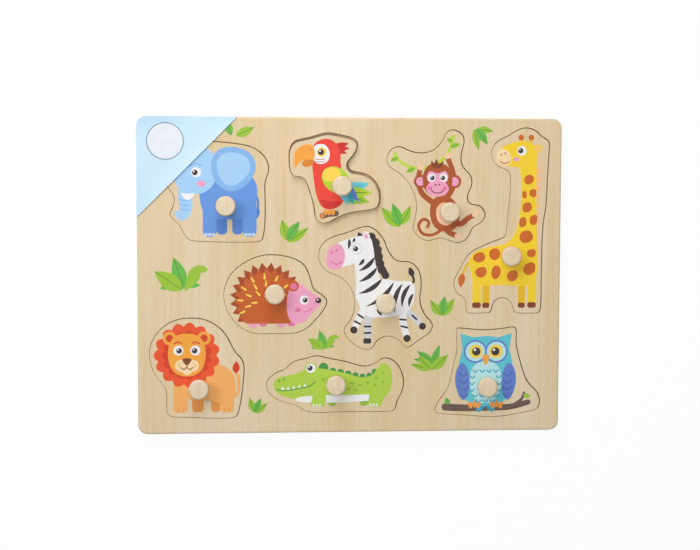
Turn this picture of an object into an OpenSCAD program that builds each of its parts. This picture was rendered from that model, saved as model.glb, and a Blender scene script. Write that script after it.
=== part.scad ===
// Wooden peg puzzle: nine animal pieces with turned knobs lie in the recesses of a two-layer board,
// and a paper card covers one corner. Millimetres, +Z up, origin under the middle of the board.

/* [Board] */
// Width of the board, left to right
board_w = 300; // [240:1:420]
// Depth of the board, bottom edge to top edge
board_d = 223; // [180:1:310]
// Radius of the board's four corners
corner_r = 6.5; // [3:0.5:9]
// Thickness of the face layer and of the pieces sawn out of it
face_t = 6; // [5:0.5:9]
// Thickness of the backing that closes the recesses
backing_t = 3; // [2:0.5:5]

/* [Pieces] */
// Width of the saw cut between a piece and its recess
kerf = 0.5; // [0.4:0.1:1.5]
// Share of the saw cut by which the seated pieces lie to the right
pieces_lie_x = -0.4; // [-0.6:0.05:0.6]
// Share of the saw cut by which the seated pieces lie towards the top edge
pieces_lie_y = -0.25; // [-0.6:0.05:0.6]
// Extra room on every side of the parrot, which sits loose in its recess
parrot_play = 0.7; // [0.3:0.1:1]
// Share of the gap round the parrot by which it lies to the right
parrot_lies_x = -0.45; // [-0.6:0.05:0.6]
// Share of the gap round the parrot by which it lies towards the top edge
parrot_lies_y = -0.8; // [-0.8:0.05:0.8]
// Height of the parrot above its seat, as it stands half lifted out
parrot_raise = 4; // [0:0.5:5]

/* [Knobs] */
// Height of a knob above the face of its piece
knob_h = 12; // [9:0.5:16]
// Diameter of a knob's head
knob_head_d = 14; // [11:0.5:18]
// Height of a knob's head
knob_head_h = 6; // [5:0.5:6.5]
// Radius of the head's rounded edges
knob_edge_r = 1.8; // [0.8:0.1:2.4]
// Diameter of the stem where it meets the head and the piece
knob_foot_d = 9.5; // [9:0.5:10.5]
// Diameter of the stem at the narrowest place of its cove
knob_waist_d = 7.2; // [6.4:0.2:8.4]
// Height of the plain band above and below the cove
knob_band_h = 0.6; // [0.3:0.1:0.7]
// Diameter of the tenon that is glued into the piece
tenon_d = 5; // [4:0.5:5.5]
// Room for glue round the tenon
glue_gap = 0.1; // [0.05:0.05:0.2]
// Room between the end of the tenon and the underside of the piece
tenon_end_gap = 0.3; // [0.1:0.1:1]

/* [Card] */
// Length of the card's two square edges
card_leg = 69; // [50:1:76]
// Thickness of the card
card_t = 0.4; // [0.3:0.1:0.8]
// Strip of bare wood between the card and the board's edges
card_inset = 0.5; // [0.4:0.1:2]

/* [Hidden] */
$fn = 64;

// Number of straight facets in each bend of a cut line
bend_steps = 4;
// Overlap of a cutting tool past the faces that it cuts
past = 1;

// Heights of the seat in a recess and of the board's face
seat_z = backing_t;
face_z = backing_t + face_t;

// Stem of a knob. Its cove is an arc over the height between the bands, as deep as the waist.
knob_stem_h = knob_h - knob_head_h;
cove_h = knob_stem_h - 2 * knob_band_h;
cove_depth = (knob_foot_d - knob_waist_d) / 2;
cove_r = (cove_h ^ 2 / 4 + cove_depth ^ 2) / (2 * cove_depth);
tenon_l = face_t - tenon_end_gap;

// Place of a seated piece that belongs to the recess at this axis
function lying(at) = at + kerf * [pieces_lie_x, pieces_lie_y];

// The gap round the loose parrot, and how far it lies from the middle of that gap
parrot_gap = kerf + parrot_play;
parrot_shift = parrot_gap * [parrot_lies_x, parrot_lies_y];

// Number of squares across and up the grid of the picture, which is stretched over the board
grid_count = [300, 223];
function on_board(square) = [square.x * board_w / grid_count.x, square.y * board_d / grid_count.y];

// Axes of the recesses. A knob stands on its piece at the same place of the cut line.
elephant_at = on_board([-88, 49.5]);
parrot_at = on_board([-7, 64.5]);
monkey_at = on_board([69, 45.5]);
giraffe_at = on_board([113, 14.5]);
hedgehog_at = on_board([-54, -12]);
zebra_at = on_board([24, -19]);
lion_at = on_board([-107, -78.5]);
crocodile_at = on_board([-11, -76.5]);
owl_at = on_board([97, -78.5]);

// Cut lines on the grid, as the corners that the saw bends round, clockwise about each knob's axis
elephant_line = [
    [-9, 45], [8, 43.5], [20, 41], [28.5, 33.5], [30.5, 25], [27, 17], [27.5, 5], [27.5, -10],
    [26.5, -20], [25, -25], [18, -25.5], [0, -25.5], [-18, -25], [-27, -24], [-30.5, -16.5],
    [-33.5, -12], [-39.5, -7], [-38, -3], [-35.5, 2], [-36, 8], [-41, 13], [-43, 24], [-38, 36],
    [-26, 45]
];
parrot_line = [
    [-36.5, 17], [-36, 25.5], [-32.5, 30.5], [-24, 32], [-17, 34], [-10, 36], [-2, 34.5], [7.5, 32.5],
    [11.5, 29], [9, 22], [3, 16], [5, 9], [15, 8], [23, 3.5], [27, -5], [26.5, -15], [19, -17],
    [8, -18], [-1, -21], [-11, -27], [-18, -24], [-18.5, -15], [-22.5, -2], [-26, 6.5], [-35, 6.5]
];
monkey_line = [
    [3, 58.5], [9.5, 55.5], [11.5, 50], [9.5, 44], [8.5, 36], [11, 30.5], [16.5, 25.5], [17, 18.5],
    [13, 11.5], [15, 5], [23, 5], [27.5, -2], [23.5, -8], [17.5, -10.5], [14, -19], [8, -22.5],
    [0, -20], [-6, -18], [-14, -21], [-21.5, -18], [-25.5, -11.5], [-23.5, -4], [-22, 5], [-25.5, 16.5],
    [-33, 26.5], [-42, 31], [-44.5, 37], [-41.5, 44], [-35, 46.5], [-28.5, 43], [-20, 41], [-10.5, 43],
    [-4, 50.5], [-2, 56]
];
giraffe_line = [
    [11, 91], [18.5, 89], [23, 84], [28.5, 81.5], [28, 73.5], [27, 53.5], [26.5, 35.5], [24, 22.5],
    [23.5, 0.5], [23.5, -22.5], [23.5, -36.5], [22.5, -41], [17, -41.5], [9, -41.5], [3.5, -40.5],
    [2.5, -33.5], [-4.5, -29], [-11.5, -33], [-12.5, -41], [-18, -41], [-26, -41.5], [-31, -40.5],
    [-31, -30], [-37.5, -27.5], [-40.5, -19], [-35, -9], [-29.5, 1.5], [-19, 7], [-9, 11], [-3, 13],
    [-2, 18], [-1, 30], [0.5, 47.5], [0.5, 60.5], [-9.5, 63], [-14.5, 71.5], [-11, 80.5], [-1, 85],
    [5, 89]
];
hedgehog_line = [
    [-2, 27.5], [10, 26], [20.5, 21.5], [25, 12], [27, 2.5], [34.5, -1.5], [38, -7], [31, -17],
    [22, -26], [12.5, -29], [-1, -28.5], [-14, -29], [-25, -24], [-34, -12.5], [-36.5, 1], [-31, 14.5],
    [-19.5, 23], [-10.5, 26.5]
];
zebra_line = [
    [-14, 55], [-7, 52.5], [-0.5, 45], [2, 37], [8, 29], [18.5, 29.5], [25, 23], [26.5, 12], [24.5, 1],
    [28.5, -9], [35, -15], [33, -21.5], [24, -27], [16, -33.5], [11, -26.5], [3, -23], [-5.5, -26],
    [-9, -34], [-19, -32], [-27.5, -24], [-29.5, -18.5], [-24, -12.5], [-20.5, -2], [-23, 10],
    [-30.5, 18.5], [-41.5, 22], [-47.5, 30], [-46, 41], [-37.5, 47], [-27, 49.5]
];
lion_line = [
    [-5, 49.5], [6, 48], [16.5, 41], [21.5, 32.5], [25, 25], [31.5, 19], [31.5, 8.5], [29.5, -8.5],
    [27.5, -18], [26, -21], [22, -22], [8, -22], [-6, -21], [-18, -21], [-22, -19.5], [-23, -15],
    [-22.5, -6], [-23.5, 0.5], [-31.5, 9.5], [-35.5, 22.5], [-33, 34.5], [-24, 44.5], [-15, 48.5]
];
crocodile_line = [
    [-13.5, 20.5], [-4, 18], [9, 15.5], [21, 11.5], [29, 14.5], [34.5, 19], [43.5, 16], [49.5, 3.5],
    [48, -6], [44, -13], [43, -18.5], [41, -20], [36, -20.5], [6, -20], [-20, -21], [-27, -15],
    [-39, -12.5], [-47.5, -6.5], [-49.5, 2], [-42, 8.5], [-36, 10], [-29.5, 16.5], [-21, 18]
];
owl_line = [
    [-21.5, 36], [-21.5, 41.5], [-16.5, 41], [-1, 39.5], [14.5, 41], [21.5, 42.5], [22, 35.5],
    [21.5, 29], [25.5, 14.5], [30, 1.5], [39, -6], [39.5, -17.5], [29, -19.5], [7, -23.5], [-13, -21.5],
    [-31, -20.5], [-37.5, -19], [-35, -12], [-26.5, -1.5], [-24.5, 10], [-20.5, 26]
];

// A cut line joins the middles of the sides between corners a, b and c with a parabola round corner b
function bend_point(a, b, c, t) = (1 - t) ^ 2 * (a + b) / 2 + 2 * t * (1 - t) * b + t ^ 2 * (b + c) / 2;
function bend_heading(a, b, c, t) = (1 - t) * (b - a) + t * (c - b);
function left_of(heading) = [-heading.y, heading.x] / norm(heading);

// Closed line on the board parallel to a cut line, moved outwards by grow
function parallel_line(corners, grow) =
    let (count = len(corners))
    [
        for (i = [0 : count - 1], step = [0 : bend_steps - 1])
        let (
            a = on_board(corners[(i + count - 1) % count]),
            b = on_board(corners[i]),
            c = on_board(corners[(i + 1) % count]),
            t = step / bend_steps
        )
        bend_point(a, b, c, t) + grow * left_of(bend_heading(a, b, c, t))
    ];

// Flat outline of the board, drawn smaller by inset on every side
module board_outline(inset = 0) {
    w = board_w - 2 * inset;
    d = board_d - 2 * inset;
    r = corner_r - inset;
    square([w, d - 2 * r], center = true);
    square([w - 2 * r, d], center = true);
    for (x = [-1, 1], y = [-1, 1])
        translate([x * (w / 2 - r), y * (d / 2 - r)]) circle(r);
}

// Opening in the face layer for one piece
module recess(corners, at, room = kerf / 2) {
    translate([at.x, at.y, seat_z - past])
        linear_extrude(face_t + 2 * past) polygon(parallel_line(corners, room));
}

// One piece with the drilled hole for its knob, standing raise above its seat
module piece(corners, at, raise = 0) {
    translate([at.x, at.y, seat_z + raise]) difference() {
        linear_extrude(face_t) polygon(parallel_line(corners, -kerf / 2));
        translate([0, 0, -past]) cylinder(d = tenon_d + 2 * glue_gap, h = face_t + 2 * past);
    }
}

// Half section of a knob: round-edged head, coved stem and tenon, with the piece's face at zero
module knob_section() {
    head_r = knob_head_d / 2;
    foot_r = knob_foot_d / 2;
    translate([0, knob_stem_h]) square([head_r - knob_edge_r, knob_head_h]);
    translate([0, knob_stem_h + knob_edge_r]) square([head_r, knob_head_h - 2 * knob_edge_r]);
    for (y = [knob_stem_h + knob_edge_r, knob_h - knob_edge_r])
        intersection() {
            translate([head_r - knob_edge_r, y]) circle(knob_edge_r);
            square([head_r, knob_h]);
        }
    difference() {
        square([foot_r, knob_stem_h]);
        translate([foot_r - cove_depth + cove_r, knob_stem_h / 2]) circle(cove_r);
    }
    translate([0, -tenon_l]) square([tenon_d / 2, tenon_l]);
}

// One turned knob on the piece at this axis
module knob(at, raise = 0) {
    translate([at.x, at.y, face_z + raise]) rotate_extrude() knob_section();
}

module frame_board() {
    color("burlywood") difference() {
        translate([0, 0, seat_z]) linear_extrude(face_t) board_outline();
        recess(elephant_line, elephant_at);
        recess(parrot_line, parrot_at, kerf / 2 + parrot_play);
        recess(monkey_line, monkey_at);
        recess(giraffe_line, giraffe_at);
        recess(hedgehog_line, hedgehog_at);
        recess(zebra_line, zebra_at);
        recess(lion_line, lion_at);
        recess(crocodile_line, crocodile_at);
        recess(owl_line, owl_at);
    }
}

module backing_board() {
    color("tan") linear_extrude(backing_t) board_outline();
}

module corner_card() {
    corner = [card_inset - board_w / 2, board_d / 2 - card_inset];
    color("lightblue") translate([0, 0, face_z]) linear_extrude(card_t) intersection() {
        board_outline(card_inset);
        translate(corner) polygon([[0, 0], [card_leg, 0], [0, -card_leg]]);
    }
}

module elephant_piece() { color("cornflowerblue") piece(elephant_line, lying(elephant_at)); }
module elephant_knob() { color("wheat") knob(lying(elephant_at)); }

module parrot_piece() { color("tomato") piece(parrot_line, parrot_at + parrot_shift, parrot_raise); }
module parrot_knob() { color("wheat") knob(parrot_at + parrot_shift, parrot_raise); }

module monkey_piece() { color("sienna") piece(monkey_line, lying(monkey_at)); }
module monkey_knob() { color("wheat") knob(lying(monkey_at)); }

module giraffe_piece() { color("gold") piece(giraffe_line, lying(giraffe_at)); }
module giraffe_knob() { color("wheat") knob(lying(giraffe_at)); }

module hedgehog_piece() { color("chocolate") piece(hedgehog_line, lying(hedgehog_at)); }
module hedgehog_knob() { color("wheat") knob(lying(hedgehog_at)); }

module zebra_piece() { color("whitesmoke") piece(zebra_line, lying(zebra_at)); }
module zebra_knob() { color("wheat") knob(lying(zebra_at)); }

module lion_piece() { color("orange") piece(lion_line, lying(lion_at)); }
module lion_knob() { color("wheat") knob(lying(lion_at)); }

module crocodile_piece() { color("yellowgreen") piece(crocodile_line, lying(crocodile_at)); }
module crocodile_knob() { color("wheat") knob(lying(crocodile_at)); }

module owl_piece() { color("mediumturquoise") piece(owl_line, lying(owl_at)); }
module owl_knob() { color("wheat") knob(lying(owl_at)); }

frame_board();
backing_board();
corner_card();
elephant_piece();
elephant_knob();
parrot_piece();
parrot_knob();
monkey_piece();
monkey_knob();
giraffe_piece();
giraffe_knob();
hedgehog_piece();
hedgehog_knob();
zebra_piece();
zebra_knob();
lion_piece();
lion_knob();
crocodile_piece();
crocodile_knob();
owl_piece();
owl_knob();
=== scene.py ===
"""Looks of a wooden peg puzzle: sawn plywood, printed animals and leaves, turned knobs and a paper card.

Lengths are in millimetres until a mesh is made. Shapes are drawn flat, and the frame gives their places.
"""
from math import atan2, cos, hypot, pi, radians, sin, sqrt

import bpy
from mathutils import Matrix, Vector
from mathutils.geometry import delaunay_2d_cdt


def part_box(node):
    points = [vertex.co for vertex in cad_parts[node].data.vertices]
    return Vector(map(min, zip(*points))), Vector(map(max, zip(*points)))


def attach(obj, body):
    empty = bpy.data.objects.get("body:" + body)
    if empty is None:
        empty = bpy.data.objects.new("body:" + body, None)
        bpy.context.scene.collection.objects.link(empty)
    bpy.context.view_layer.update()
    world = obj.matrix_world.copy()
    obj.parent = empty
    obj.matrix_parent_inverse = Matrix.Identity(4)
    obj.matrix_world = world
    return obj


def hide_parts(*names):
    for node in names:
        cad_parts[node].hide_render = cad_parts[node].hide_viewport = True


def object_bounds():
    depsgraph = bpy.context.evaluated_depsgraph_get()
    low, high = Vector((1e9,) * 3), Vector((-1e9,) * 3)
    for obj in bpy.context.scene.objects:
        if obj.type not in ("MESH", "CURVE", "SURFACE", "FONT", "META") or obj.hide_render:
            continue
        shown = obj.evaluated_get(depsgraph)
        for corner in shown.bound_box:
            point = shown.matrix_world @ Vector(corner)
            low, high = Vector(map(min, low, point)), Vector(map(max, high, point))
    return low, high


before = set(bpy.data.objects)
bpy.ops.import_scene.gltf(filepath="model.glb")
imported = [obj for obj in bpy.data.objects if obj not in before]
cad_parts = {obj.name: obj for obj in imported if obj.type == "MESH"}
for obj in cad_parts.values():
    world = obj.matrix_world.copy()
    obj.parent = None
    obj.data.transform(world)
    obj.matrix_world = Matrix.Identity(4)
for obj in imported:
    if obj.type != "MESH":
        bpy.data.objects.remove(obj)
cad_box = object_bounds()

# Metres in a millimetre, and the millimetres within which points are one
MM = 0.001
TOUCH = 0.0005

# The board and its sawn lines
CORNER_R = 6.5
OUTER_EDGE_R = 1.4
UNDER_EDGE_R = 1.12
GLUE_EDGE_R = 0.15
SAWN_EDGE_R = 0.12
HIDDEN_EDGE_R = 0.02
EDGE_STEPS = 4
CORNER_STEPS = 14
LOOP_STEPS = 3

# The knobs, with angles in degrees
KNOB_HEAD_H = 6
KNOB_EDGE_R = 1.8
KNOB_FOOT_R = 4.75
KNOB_WAIST_R = 3.6
KNOB_BAND_H = 0.6
KNOB_TOP_TURN = 70
KNOB_TENON_R = 2.5
KNOB_TURNS = 72
KNOB_COVE_STEPS = 12
KNOB_EDGE_STEPS = 9
KNOB_CREASE = 13
KNOB_DOME = (0.75, 0.5, 0.25)

# The corner card and the ink
CARD_OVER = 0.5
CARD_BOW = 1.1
CARD_BOW_REACH = 17
CARD_BOW_ENDS = 0.45
CARD_TIP = 0.05
CARD_CREASE = 50
CARD_ROWS = 30
# Slant and size of the card's painted glint streaks: painted reflections screened onto its colour
GLINT_STREAK_TURN = -52
GLINT_STREAK_SCALE = (9, 420, 9)
INK_T = 0.05
INK_UNDER_KNOB = 0.05
INK_COVER = 0.90
INK_FULL = 1.012

# Camera, in millimetres from the middle of the board's face, fitted to its corners in a 700 x 550 picture
LENS = 72
SENSOR = 36
CAMERA_AT = (-79.7, 67.1, 984.3)
CAMERA_AIM = (-0.82, 0.73, 0)
CAMERA_UP = (0.0022, 0.9977, -0.0671)

# Lights: place and size in metres, share of the light on a face that looks up, and whether it is mirrored
LIGHTS = {
    "key": ((-1.40, 0.70, 1.75), 1.0, 0.19, True),
    "fill": ((-0.16, 0.58, 0.50), 0.6, 0.28, True),
    "overhead": ((-0.05, 0.06, 1.40), 0.6, 0.27, False),
}
AMBIENT = 0.19
FLOOR_GLOW = 0.93
FLOOR_GAP = 0.2
FLOOR_HALF = 4

# Colours from 0 to 255. Plies are (outer plies, core, glue)
WHITE = (255, 255, 255)
BLACK = (0, 0, 0)
FLOOR_WHITE = (250, 250, 250)
WOOD_LIGHT = (237, 219, 194)
WOOD_MID = (233, 212, 178)
WOOD_DARK = (227, 203, 157)
WOOD_TONE = (251, 246, 231)
WOOD_FLECK = (214, 190, 160)
# Sawn walls are paler than the outer edges: partly the pale wood of the plies, partly painted light that
# stands in for light reaching down into the narrow gaps
SAWN_PLIES = (238, 208, 178), (220, 184, 150), (176, 134, 98)
EDGE_PLIES = (224, 200, 164), (198, 164, 122), (150, 112, 74)
EDGE_SHADE = (196, 186, 176)
KNOB_LIGHT = (238, 220, 192)
KNOB_DARK = (227, 203, 168)
KNOB_PORE = (226, 208, 184)
CARD_PALE = (207, 236, 252)
CARD_DEEP = (191, 225, 249)
# Strongest painted glint on the card: a painted reflection screened over the paper colour
CARD_GLINT = (70, 70, 70)

# Glue lines as shares of a layer's thickness
PLY_JOINTS = (0.35, 0.65)
GLUE_BLUR = 0.02

# The printed disc on the card
ROUNDEL_AT = (19.9, 17.1)
ROUNDEL_R = 13
ROUNDEL_RING = 0.6

# Drawn lines: their steps, and the shares, powers and widths that shape them
OVAL_STEPS = 36
BEND_STEPS = 5
CAP_STEPS = 6
PETAL_STEPS = 10
PUPIL = 0.56
GLINT = 0.17
GLINT_AT = (-0.2, 0.22)
LEAF_BELLY = 0.85
LEAF_ROUND = 0.9
VEIN_W = 0.5
VEIN_END_W = 0.35
VEIN_SPAN = (0.98, 0.5, 0.05)
SIDES = (-1, 1)
CROCODILE_SCALE = 0.9
CROCODILE_MIDDLE = (-3, -4)

INKS = {
    "sky": (168, 211, 250), "blue": (101, 152, 226), "deep_blue": (84, 130, 208),
    "pale_blue": (205, 230, 252), "ear_blue": (134, 184, 241), "red": (238, 70, 58),
    "deep_red": (205, 48, 46), "beak": (250, 168, 70), "deep_beak": (226, 130, 52), "cyan": (104, 205, 222),
    "lime": (178, 214, 58), "leaf": (153, 197, 60), "deep_leaf": (104, 184, 74), "vein": (80, 122, 44),
    "brown": (172, 84, 44), "deep_brown": (126, 62, 40), "pink": (244, 166, 200),
    "deep_pink": (226, 122, 168), "skin": (250, 205, 172), "vine": (192, 218, 76), "yellow": (250, 213, 52),
    "deep_yellow": (236, 190, 40), "patch": (206, 104, 42), "peach": (253, 192, 144), "rust": (196, 93, 42),
    "deep_rust": (160, 70, 34), "straw": (252, 216, 84), "white": (246, 246, 248), "grey": (214, 214, 222),
    "ink": (52, 44, 46), "mane": (236, 86, 48), "deep_mane": (214, 66, 42), "gold": (246, 168, 66),
    "tan": (246, 178, 104), "deep_tan": (228, 150, 78), "cream": (255, 224, 178), "green": (178, 212, 76),
    "deep_green": (68, 148, 70), "mid_green": (140, 186, 62), "teal": (92, 200, 216),
    "pale_teal": (188, 234, 238), "deep_teal": (56, 168, 192), "wing": (98, 128, 206),
    "deep_wing": (74, 102, 180), "branch": (104, 86, 80), "deep_branch": (82, 66, 62),
    "claw": (246, 156, 60), "ring_blue": (96, 124, 158), "paper_white": (235, 239, 246),
}
PAPER_INKS = ("ring_blue", "paper_white")


# Flat shapes, as closed lines

def oval(x, y, rx, ry=None, turn=0):
    """Ellipse about (x, y), turned by so many degrees."""
    ry = ry or rx
    c, s = cos(radians(turn)), sin(radians(turn))
    around = [2 * pi * k / OVAL_STEPS for k in range(OVAL_STEPS)]
    return [(x + rx * cos(a) * c - ry * sin(a) * s, y + rx * cos(a) * s + ry * sin(a) * c) for a in around]


def blob(*corners):
    """Closed smooth line that bends round these corners, through the middles of the sides between them."""
    line = []
    for i, b in enumerate(corners):
        a, c = corners[i - 1], corners[(i + 1) % len(corners)]
        for k in range(BEND_STEPS):
            t = k / BEND_STEPS
            line.append(tuple(
                (1 - t) ** 2 * (a[n] + b[n]) / 2 + 2 * t * (1 - t) * b[n] + t * t * (b[n] + c[n]) / 2
                for n in (0, 1)))
    return line


def panel(x0, y0, x1, y1, r, steps=BEND_STEPS):
    """Rectangle with round corners."""
    line = []
    middles = (x1 - r, y1 - r), (x0 + r, y1 - r), (x0 + r, y0 + r), (x1 - r, y0 + r)
    for corner, (cx, cy) in enumerate(middles):
        for k in range(steps + 1):
            a = radians(90 * corner + 90 * k / steps)
            line.append((cx + r * cos(a), cy + r * sin(a)))
    return line


def curve_point(a, b, c, d, t):
    """Point at the share t from b to c, on a curve through a, b, c and d."""
    return tuple(
        b[n] + t * (c[n] - a[n]) / 2 + t * t * (a[n] - 2.5 * b[n] + 2 * c[n] - d[n] / 2)
        + t ** 3 * (1.5 * (b[n] - c[n]) + (d[n] - a[n]) / 2) for n in (0, 1))


def through(points):
    """Smooth open line through these points, for a stroke."""
    ends = [points[0], *points, points[-1]]
    spans = zip(ends, ends[1:], ends[2:], ends[3:])
    line = [curve_point(*span, k / BEND_STEPS) for span in spans for k in range(BEND_STEPS)]
    return line + [points[-1]]


def stroke(width, *points, end=None):
    """Brush line through these points with round ends. Its width runs to end."""
    line = through(points)
    end = width if end is None else end
    last = len(line) - 1
    left, right, caps = [], [], []
    for k, p in enumerate(line):
        before, after = line[max(k - 1, 0)], line[min(k + 1, last)]
        heading = atan2(after[1] - before[1], after[0] - before[0])
        half = (width + (end - width) * k / last) / 2
        left.append((p[0] - half * sin(heading), p[1] + half * cos(heading)))
        right.append((p[0] + half * sin(heading), p[1] - half * cos(heading)))
        if k in (0, last):
            start = heading + (pi if k == 0 else 0) + pi / 2
            angles = [start - pi * step / CAP_STEPS for step in range(1, CAP_STEPS)]
            caps.append([(p[0] + half * cos(a), p[1] + half * sin(a)) for a in angles])
    return left + caps[1] + right[::-1] + caps[0]


def beside(base, tip, t, off):
    """Point at the share t of the way from base to tip, moved to the left of it."""
    dx, dy = tip[0] - base[0], tip[1] - base[1]
    size = hypot(dx, dy)
    return base[0] + dx * t - dy / size * off, base[1] + dy * t + dx / size * off


def bowed(bow, t):
    """Distance of a bent line from its chord at the share t, where bow is the largest."""
    return bow * 4 * t * (1 - t)


def leaf(base, tip, width, bow=0):
    """Pointed leaf or feather from base to tip. bow bends it to its left."""
    left, right = [], []
    for k in range(2 * BEND_STEPS + 1):
        t = k / (2 * BEND_STEPS)
        half = width / 2 * sin(pi * t ** LEAF_BELLY) ** LEAF_ROUND if 0 < k < 2 * BEND_STEPS else 0
        left.append(beside(base, tip, t, bowed(bow, t) + half))
        right.append(beside(base, tip, t, bowed(bow, t) - half))
    return left + right[-2:0:-1]


def star(x, y, outer, inner, points, start, sweep):
    """Zigzag round (x, y) between two radii, over sweep degrees from start."""
    line = []
    for k in range(2 * points + 1):
        r, a = inner if k % 2 else outer, radians(start + sweep * k / (2 * points))
        line.append((x + r * cos(a), y + r * sin(a)))
    return line


def petals(x, y, r, depth, count):
    """Ring of round petals: a circle of radius r whose edge bulges by depth, count times."""
    steps, line = PETAL_STEPS * count, []
    for k in range(steps):
        reach, a = r + depth * abs(sin(pi * count * k / steps)), 2 * pi * k / steps
        line.append((x + reach * cos(a), y + reach * sin(a)))
    return line


def eye(x, y, r, look):
    """White of the eye, pupil and glint."""
    px, py = x + look[0], y + look[1]
    return [("white", oval(x, y, r)), ("ink", oval(px, py, r * PUPIL)),
            ("white", oval(px + r * GLINT_AT[0], py + r * GLINT_AT[1], r * GLINT))]


def area(line):
    """Area inside a closed line, positive where it runs anticlockwise."""
    return sum(a[0] * b[1] - b[0] * a[1] for a, b in zip(line, line[1:] + line[:1])) / 2


# Meshes

def partition(lines):
    """Points and triangles that cover these closed lines.

    With them come the first source of each point and the last line that goes round each triangle.
    """
    points, rings = [], []
    for line in lines:
        ring = list(range(len(points), len(points) + len(line)))
        points += [Vector(p) for p in line]
        rings.append(ring if area(line) > 0 else ring[::-1])
    flat, _, triangles, sources, _, holders = delaunay_2d_cdt(points, [], rings, 1, TOUCH, True)
    return flat, triangles, [s[0] if s else None for s in sources], [max(h, default=None) for h in holders]


def border(faces):
    """Sides that belong to one face alone, each with the number of its face."""
    sides = {}
    for number, face in enumerate(faces):
        sides.update({side: number for side in zip(face, face[1:] + face[:1])})
    return {side: number for side, number in sides.items() if side[::-1] not in sides}


def put(name, data):
    """New object in the scene."""
    made = bpy.data.objects.new(name, data)
    bpy.context.scene.collection.objects.link(made)
    return made


def add_piece(name, body, points, faces, materials, indices=None, flat=()):
    """Mesh piece in place on its body. Faces are smooth apart from those whose numbers are in flat."""
    mesh = bpy.data.meshes.new(name)
    mesh.from_pydata([(x * MM, y * MM, z * MM) for x, y, z in points], [], faces)
    for material in materials:
        mesh.materials.append(material)
    mesh.polygons.foreach_set("use_smooth", [k not in flat for k in range(len(faces))])
    if indices:
        mesh.polygons.foreach_set("material_index", indices)
    mesh.update()
    piece = put(name, mesh)
    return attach(piece, body)


def top_loops(node):
    """Closed lines round the flat top of a CAD node, with the wood on their left: the outer one first."""
    mesh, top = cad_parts[node].data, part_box(node)[1].z
    faces = []
    for polygon in mesh.polygons:
        corners = [mesh.vertices[v].co for v in polygon.vertices]
        if all(abs(c.z - top) < TOUCH * MM for c in corners):
            faces.append([(round(c.x / MM, 3), round(c.y / MM, 3)) for c in corners])
    step = dict(border(faces).keys())
    loops = []
    while step:
        start = here = min(step)
        loop = []
        while here in step:
            loop.append(here)
            here = step.pop(here)
        loops.append(loop)
    return sorted(loops, key=area, reverse=True)


def rounded(loop):
    """The same closed line on a curve through all its points."""
    count, line = len(loop), []
    for i in range(count):
        span = [loop[(i + k) % count] for k in (-1, 0, 1, 2)]
        line += [curve_point(*span, k / LOOP_STEPS) for k in range(LOOP_STEPS)]
    return line


def inset(loop, distance):
    """The closed line moved to its left."""
    line = []
    for i, p in enumerate(loop):
        a, b = loop[i - 1], loop[(i + 1) % len(loop)]
        dx, dy = b[0] - a[0], b[1] - a[1]
        size = hypot(dx, dy)
        line.append((p[0] - dy / size * distance, p[1] + dx / size * distance))
    return line


def edge_profile(low, high, low_r, high_r):
    """(inset, height) of a board's edge, from its lower face round to its upper one."""
    turns = [radians(90 * k / EDGE_STEPS) for k in range(EDGE_STEPS + 1)]
    under = [(low_r * (1 - sin(a)), low + low_r * (1 - cos(a))) for a in turns]
    over = [(high_r * (1 - cos(a)), high - high_r * (1 - sin(a))) for a in turns]
    return under + over


def add_plate(name, body, edges, low, high, materials):
    """Flat board between two heights.

    Each edge is (line, lower radius, upper radius, number of the wall's material).
    """
    points, faces, indices, rims = [], [], [], ([], [])
    for line, low_r, high_r, wall in edges:
        profile = edge_profile(low, high, low_r, high_r)
        first, count = len(points), len(line)
        for off, z in profile:
            points += [(x, y, z) for x, y in inset(line, off)]
        for ring in range(len(profile) - 1):
            at = first + ring * count
            for i in range(count):
                after = at + (i + 1) % count
                faces.append((at + i, after, after + count, at + i + count))
            indices += [wall if ring == EDGE_STEPS else 0] * count
        rims[0].append(range(first, first + count))
        rims[1].append(range(len(points) - count, len(points)))
    walls = len(faces)
    for rim, turned in zip(rims, (True, False)):
        ids = [i for ring in rim for i in ring]
        _, triangles, sources, holders = partition([[points[i][:2] for i in ring] for ring in rim])
        for triangle, holder in zip(triangles, holders):
            if holder == 0:
                face = [ids[sources[v]] for v in triangle]
                faces.append(face[::-1] if turned else face)
    indices += [0] * (len(faces) - walls)
    return add_piece(name, body, points, faces, materials, indices, range(walls, len(faces)))


def add_print(name, body, art, at, z):
    """Film of ink on a flat face at height z. A shape with no ink leaves the face bare."""
    flat, triangles, _, holders = partition([line for _, line in art])
    shown = [(t, art[h][0]) for t, h in zip(triangles, holders) if h is not None and art[h][0]]
    inks = sorted({ink for _, ink in shown})
    count = len(flat)
    points = [(p.x + at[0], p.y + at[1], z + t) for t in (INK_T, 0) for p in flat]
    faces, indices = [], []
    for triangle, ink in shown:
        faces += [tuple(triangle), tuple(v + count for v in reversed(triangle))]
        indices += [inks.index(ink)] * 2
    for (a, b), number in border([triangle for triangle, _ in shown]).items():
        faces.append((a, a + count, b + count, b))
        indices.append(inks.index(shown[number][1]))
    used = sorted({v for face in faces for v in face})
    place = {v: k for k, v in enumerate(used)}
    return add_piece(name, body, [points[v] for v in used], [[place[v] for v in face] for face in faces],
                     [ink_material(ink) for ink in inks], indices, range(len(faces)))


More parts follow.
